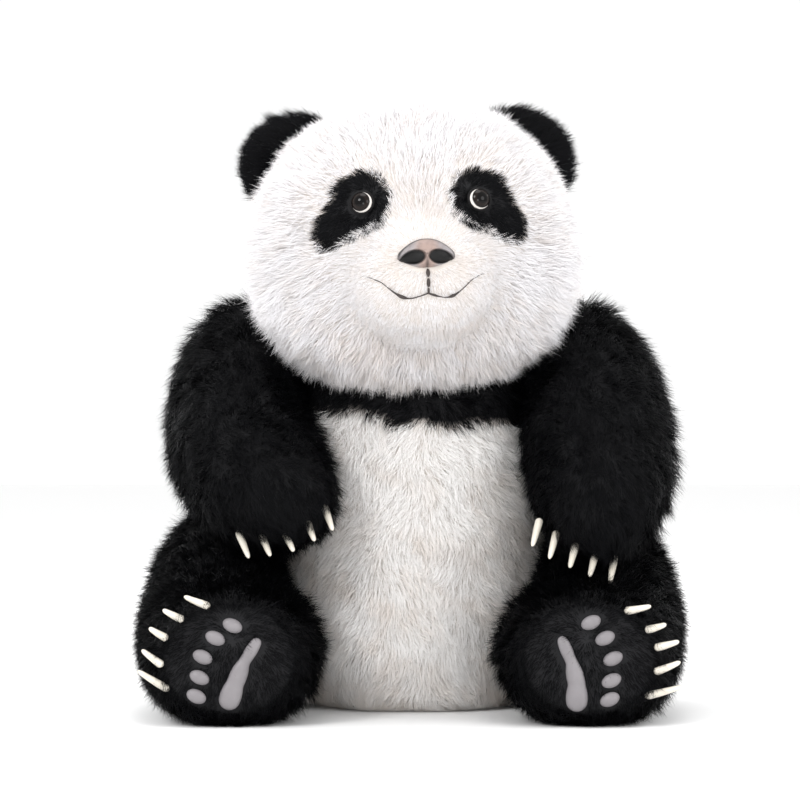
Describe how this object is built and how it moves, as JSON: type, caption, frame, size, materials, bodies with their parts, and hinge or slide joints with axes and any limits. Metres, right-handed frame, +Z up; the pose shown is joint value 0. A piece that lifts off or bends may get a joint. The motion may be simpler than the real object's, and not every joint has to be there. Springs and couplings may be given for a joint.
{
  "type": "plush panda",
  "caption": "Sitting plush panda in long black and white faux fur with disc-jointed neck, arms and legs, resin claws, moulded nose and rubber sole pads.",
  "frame": {"origin": "middle of the flat underside, on the surface the panda sits on", "axes": "+Z up, -Y the way the face looks, +X to the panda's own left"},
  "size_m": [0.3516, 0.2769, 0.4039],
  "materials": {
    "white_fur": "long soft faux fur, warm white",
    "muzzle_fur": "shorter combed faux fur, warm white",
    "black_fur": "long soft faux fur, black",
    "stuffing": "loose polyester fibre",
    "bag_cloth": "plain woven cotton",
    "joint_board": "satin moulded plastic",
    "eye_glass": "polished dark lens",
    "nose_resin": "satin moulded resin, pinkish grey with dark nostrils",
    "stitch_thread": "waxed thread",
    "claw_resin": "satin cast resin, ivory",
    "pad_rubber": "satin soft rubber, grey lilac"
  },
  "bodies": {
    "torso": {"belly_cover": "white_fur", "back_cover": "white_fur", "shoulder_yoke": "black_fur", "seat_panel": "white_fur", "pellet_bag": "bag_cloth", "torso_stuffing": "stuffing", "neck_washer": "joint_board", "shoulder_left_washer": "joint_board", "hip_left_washer": "joint_board", "shoulder_right_washer": "joint_board", "hip_right_washer": "joint_board", "tail": "white_fur"},
    "head": {"eye_patch_left": "black_fur", "eye_left": "eye_glass", "eye_washer_left": "joint_board", "ear_left": "black_fur", "eye_patch_right": "black_fur", "eye_right": "eye_glass", "eye_washer_right": "joint_board", "ear_right": "black_fur", "nose": "nose_resin", "muzzle_cover": "muzzle_fur", "mouth_thread": "stitch_thread", "head_cover": "white_fur", "head_stuffing": "stuffing", "neck_post": "joint_board"},
    "arm_left": {"arm_cover_left": "black_fur", "arm_stuffing_left": "stuffing", "shoulder_post_left": "joint_board", "paw_claw_left_1": "claw_resin", "paw_claw_left_2": "claw_resin", "paw_claw_left_3": "claw_resin", "paw_claw_left_4": "claw_resin", "paw_claw_left_5": "claw_resin"},
    "arm_right": {"arm_cover_right": "black_fur", "arm_stuffing_right": "stuffing", "shoulder_post_right": "joint_board", "paw_claw_right_1": "claw_resin", "paw_claw_right_2": "claw_resin", "paw_claw_right_3": "claw_resin", "paw_claw_right_4": "claw_resin", "paw_claw_right_5": "claw_resin"},
    "leg_left": {"leg_cover_left": "black_fur", "leg_stuffing_left": "stuffing", "hip_post_left": "joint_board", "toe_claw_left_1": "claw_resin", "toe_claw_left_2": "claw_resin", "toe_claw_left_3": "claw_resin", "toe_claw_left_4": "claw_resin", "toe_claw_left_5": "claw_resin", "foot_pads_left": "pad_rubber"},
    "leg_right": {"leg_cover_right": "black_fur", "leg_stuffing_right": "stuffing", "hip_post_right": "joint_board", "toe_claw_right_1": "claw_resin", "toe_claw_right_2": "claw_resin", "toe_claw_right_3": "claw_resin", "toe_claw_right_4": "claw_resin", "toe_claw_right_5": "claw_resin", "foot_pads_right": "pad_rubber"}
  },
  "joints": [
    {"name": "neck_turn", "type": "hinge", "parent": "torso", "child": "head", "pos_m": [0, 0.009, 0.237], "axis": [0, -0.4226, 0.9063], "range_deg": [-45, 45]},
    {"name": "shoulder_left", "type": "hinge", "parent": "torso", "child": "arm_left", "pos_m": [0.07808, 0.01, 0.208], "axis": [-0.9654, 0, -0.2607], "range_deg": [0, 28]},
    {"name": "shoulder_right", "type": "hinge", "parent": "torso", "child": "arm_right", "pos_m": [-0.07808, 0.01, 0.208], "axis": [-0.9654, 0, 0.2607], "range_deg": [0, 28]},
    {"name": "hip_left", "type": "hinge", "parent": "torso", "child": "leg_left", "pos_m": [0.089, 0.016, 0.07], "axis": [1, 0, 0], "range_deg": [0, 65]},
    {"name": "hip_right", "type": "hinge", "parent": "torso", "child": "leg_right", "pos_m": [-0.089, 0.016, 0.07], "axis": [1, 0, 0], "range_deg": [0, 65]}
  ]
}
